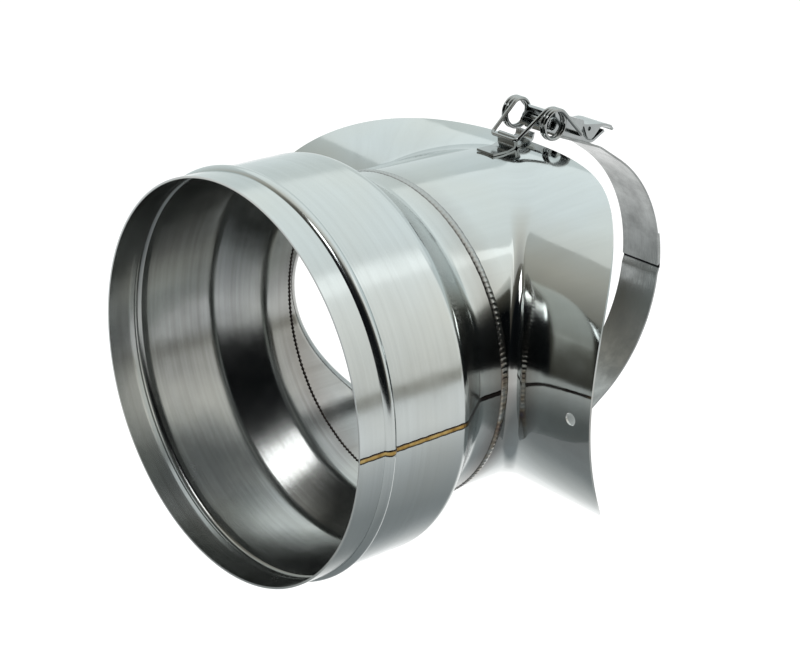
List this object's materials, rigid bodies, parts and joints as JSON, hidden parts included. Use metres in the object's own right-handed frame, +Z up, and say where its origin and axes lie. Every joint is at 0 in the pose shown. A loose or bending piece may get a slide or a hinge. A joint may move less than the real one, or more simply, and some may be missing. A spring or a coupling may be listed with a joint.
{
  "type": "flue pipe connector",
  "caption": "Branch connector for a flue pipe: a saddle with a pulled collar, a welded socket with a shoulder and bead, and a strap with a sprung toggle latch.",
  "frame": {"origin": "on the axis of the pipe that the saddle clamps round, where the socket's axis crosses it", "axes": "+X along the clamped pipe, +Z up through the latch, -Y out of the socket's mouth"},
  "size_m": [0.2046, 0.2181, 0.158],
  "materials": {
    "polished_sheet": "mirror-polished stainless sheet",
    "weld_bead": "rippled weld bead with heat tint",
    "seam": "flat weld seam, straw-coloured heat tint",
    "strap": "plain rolled stainless strap",
    "latch_sheet": "bright pressed stainless sheet",
    "latch_rivet": "bright hollow rivet",
    "spring_wire": "drawn stainless spring wire"
  },
  "bodies": {
    "fitting": {"saddle": "polished_sheet", "socket_body": "polished_sheet", "neck_weld": "weld_bead", "seam_weld": "seam", "strap_upper": "strap", "strap_lower": "strap", "catch": "latch_sheet", "latch_base": "latch_sheet", "pivot_rivet": "latch_rivet"},
    "lever": {"lever": "latch_sheet"},
    "bail": {"bail": "spring_wire"}
  },
  "joints": [
    {"name": "lever_hinge", "type": "hinge", "parent": "fitting", "child": "lever", "pos_m": [0, 0.0043, 0.0722], "axis": [1, 0, 0], "range_deg": [0, 70]},
    {"name": "bail_hinge", "type": "hinge", "parent": "lever", "child": "bail", "pos_m": [0, 0.0164, 0.06684], "axis": [1, 0, 0], "range_deg": [-88, 0]}
  ],
  "couplings": [
    {"joint": "bail_hinge", "follows": "lever_hinge", "ratio": -1.25}
  ]
}
